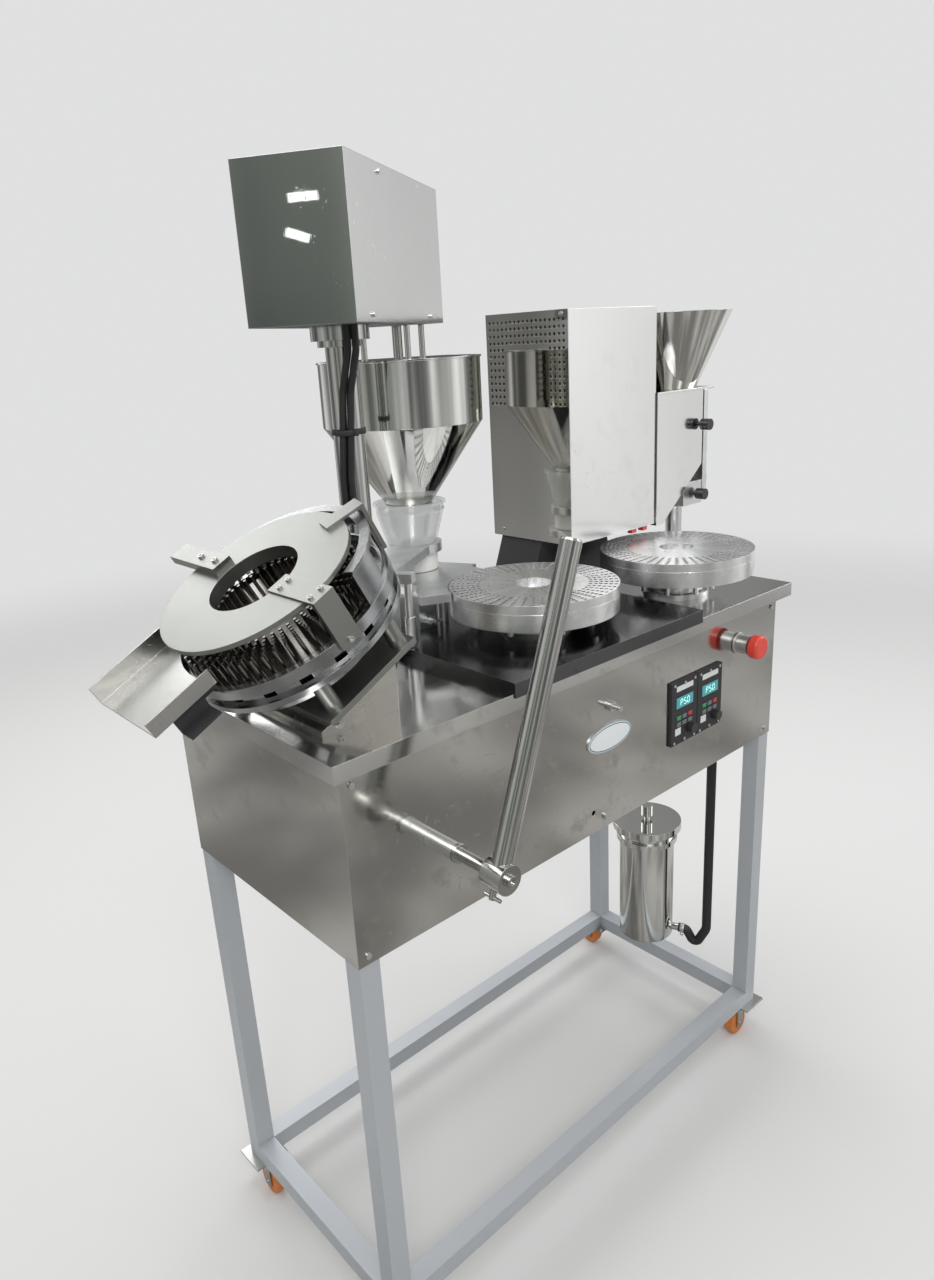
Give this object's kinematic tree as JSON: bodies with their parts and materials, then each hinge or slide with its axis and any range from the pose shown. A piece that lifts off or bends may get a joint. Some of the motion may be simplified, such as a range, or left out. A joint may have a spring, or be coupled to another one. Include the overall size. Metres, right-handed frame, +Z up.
{
  "type": "capsule filling machine",
  "caption": "Bench-mounted semi-automatic capsule filler with ring turntables, swinging auger hopper, capsule loader and lever-worked peg press.",
  "frame": {"origin": "on the floor, under the middle of the machine's outer box", "axes": "+X to the loader end, along the front; +Y from the operator's side to the back; +Z up"},
  "size_m": [1.2128, 0.626, 1.5715],
  "materials": {
    "stainless": "polished sheet",
    "machined": "turned satin",
    "steel_dark": "dark polished sheet",
    "frame_paint": "silver grey enamel",
    "zinc": "zinc plated",
    "screw_steel": "plated",
    "black_paint": "black",
    "black_plastic": "moulded",
    "red_plastic": "moulded",
    "white_nylon": "turned",
    "clear_acrylic": "clear",
    "rubber_black": "smooth hose",
    "wheel_orange": "tread",
    "display_teal": "lit",
    "motor_grey": "enamel"
  },
  "bodies": {
    "bench": {"apron": "stainless", "bearings": "machined", "bench_frame": "frame_paint", "bench_screws": "screw_steel", "capsule_chute": "stainless", "capsule_funnel": "stainless", "capsule_magazine": "machined", "caster_plates": "zinc", "chute_brackets": "black_paint", "drive_bodies": "black_plastic", "drive_displays": "display_teal", "drive_motors": "motor_grey", "loader_cover": "stainless", "loader_pedestal": "black_paint", "loader_throat": "stainless", "panel_fittings": "screw_steel", "parking_shelf": "machined", "press_arms": "machined", "press_base": "machined", "press_disc": "machined", "press_drum": "machined", "press_guard": "machined", "press_stand": "stainless", "spill_tray": "steel_dark", "tank_body": "stainless", "tank_hose": "rubber_black", "tank_lid": "stainless", "worktop": "stainless"},
    "lever": {"lever_shaft": "stainless", "lever_handle": "stainless"},
    "peg_lifter": {"peg_plate": "machined"},
    "turntable_1": {"ring_1": "machined", "turntable_1_plate": "machined"},
    "turntable_2": {"ring_2": "machined", "turntable_2_plate": "machined"},
    "filler_head": {"column": "stainless", "head_cover": "stainless", "auger_drive": "motor_grey", "powder_hopper": "stainless", "hopper_lid": "stainless", "outlet_cup": "clear_acrylic", "head_arm": "machined", "nozzle": "white_nylon", "column_cables": "rubber_black", "cable_tie": "black_plastic"},
    "auger": {"auger_screw": "machined"},
    "estop_button": {"estop_head": "red_plastic"},
    "drive_1_dial": {"drive_1_knob": "black_plastic"},
    "drive_2_dial": {"drive_2_knob": "black_plastic"},
    "magazine_thumbscrew_1": {"magazine_knob_1": "black_plastic"},
    "magazine_thumbscrew_2": {"magazine_knob_2": "black_plastic"},
    "parking_lock_screw": {"parking_tee_screw": "screw_steel"},
    "caster_front_left_swivel": {"caster_front_left_fork": "zinc"},
    "caster_front_left_roller": {"caster_front_left_wheel": "wheel_orange"},
    "caster_back_left_swivel": {"caster_back_left_fork": "zinc"},
    "caster_back_left_roller": {"caster_back_left_wheel": "wheel_orange"},
    "caster_front_right_swivel": {"caster_front_right_fork": "zinc"},
    "caster_front_right_roller": {"caster_front_right_wheel": "wheel_orange"},
    "caster_back_right_swivel": {"caster_back_right_fork": "zinc"},
    "caster_back_right_roller": {"caster_back_right_wheel": "wheel_orange"}
  },
  "joints": [
    {"name": "lever_swing", "type": "hinge", "parent": "bench", "child": "lever", "pos_m": [-0.32755, -0.24704, 0.781], "axis": [0, -1, 0], "range_deg": [0, 34.92]},
    {"name": "peg_lift", "type": "slide", "parent": "bench", "child": "peg_lifter", "axis": [-0.4695, 0, 0.8829], "range_m": [0, 0.018]},
    {"name": "turntable_1_spin", "type": "hinge", "parent": "bench", "child": "turntable_1", "pos_m": [0.00745, -0.03504, 0.935], "axis": [0, 0, 1], "continuous": true},
    {"name": "turntable_2_spin", "type": "hinge", "parent": "bench", "child": "turntable_2", "pos_m": [0.32145, -0.06604, 0.935], "axis": [0, 0, 1], "continuous": true},
    {"name": "head_swing", "type": "hinge", "parent": "bench", "child": "filler_head", "pos_m": [-0.23065, 0.06626, 0.935], "axis": [0, 0, 1], "range_deg": [-38, 12]},
    {"name": "auger_spin", "type": "hinge", "parent": "filler_head", "child": "auger", "pos_m": [-0.04245, 0.18754, 1.235], "axis": [0, 0, 1], "continuous": true},
    {"name": "estop_press", "type": "slide", "parent": "bench", "child": "estop_button", "axis": [0, 1, 0], "range_m": [0, 0.005], "stiffness_N_per_m": 600, "springref_m": -0.002},
    {"name": "drive_1_dial_turn", "type": "hinge", "parent": "bench", "child": "drive_1_dial", "pos_m": [0.21145, -0.17704, 0.753], "axis": [0, -1, 0], "range_deg": [-140, 140]},
    {"name": "drive_2_dial_turn", "type": "hinge", "parent": "bench", "child": "drive_2_dial", "pos_m": [0.28145, -0.17704, 0.753], "axis": [0, -1, 0], "range_deg": [-140, 140]},
    {"name": "magazine_thumbscrew_1_turn", "type": "hinge", "parent": "bench", "child": "magazine_thumbscrew_1", "pos_m": [0.50545, 0.01296, 1.197], "axis": [0, -1, 0], "continuous": true},
    {"name": "magazine_thumbscrew_2_turn", "type": "hinge", "parent": "bench", "child": "magazine_thumbscrew_2", "pos_m": [0.49545, 0.01296, 1.073], "axis": [0, -1, 0], "continuous": true},
    {"name": "parking_lock_turn", "type": "hinge", "parent": "bench", "child": "parking_lock_screw", "pos_m": [-0.10655, 0.06296, 0.9635], "axis": [0, -1, 0], "continuous": true},
    {"name": "caster_front_left_swivel_turn", "type": "hinge", "parent": "bench", "child": "caster_front_left_swivel", "pos_m": [-0.43405, -0.15254, 0.0624], "axis": [0, 0, 1], "continuous": true},
    {"name": "caster_front_left_wheel_roll", "type": "hinge", "parent": "caster_front_left_swivel", "child": "caster_front_left_roller", "pos_m": [-0.40805, -0.15254, 0.025], "axis": [0, 1, 0], "continuous": true},
    {"name": "caster_back_left_swivel_turn", "type": "hinge", "parent": "bench", "child": "caster_back_left_swivel", "pos_m": [-0.43405, 0.22196, 0.0624], "axis": [0, 0, 1], "continuous": true},
    {"name": "caster_back_left_wheel_roll", "type": "hinge", "parent": "caster_back_left_swivel", "child": "caster_back_left_roller", "pos_m": [-0.43405, 0.19596, 0.025], "axis": [1, 0, 0], "continuous": true},
    {"name": "caster_front_right_swivel_turn", "type": "hinge", "parent": "bench", "child": "caster_front_right_swivel", "pos_m": [0.45695, -0.15254, 0.0624], "axis": [0, 0, 1], "continuous": true},
    {"name": "caster_front_right_wheel_roll", "type": "hinge", "parent": "caster_front_right_swivel", "child": "caster_front_right_roller", "pos_m": [0.43095, -0.15254, 0.025], "axis": [0, -1, 0], "continuous": true},
    {"name": "caster_back_right_swivel_turn", "type": "hinge", "parent": "bench", "child": "caster_back_right_swivel", "pos_m": [0.45695, 0.22196, 0.0624], "axis": [0, 0, 1], "continuous": true},
    {"name": "caster_back_right_wheel_roll", "type": "hinge", "parent": "caster_back_right_swivel", "child": "caster_back_right_roller", "pos_m": [0.45695, 0.24796, 0.025], "axis": [-1, 0, 0], "continuous": true}
  ],
  "couplings": [
    {"joint": "peg_lift", "follows": "lever_swing", "m_per_rad": 0.029538}
  ]
}
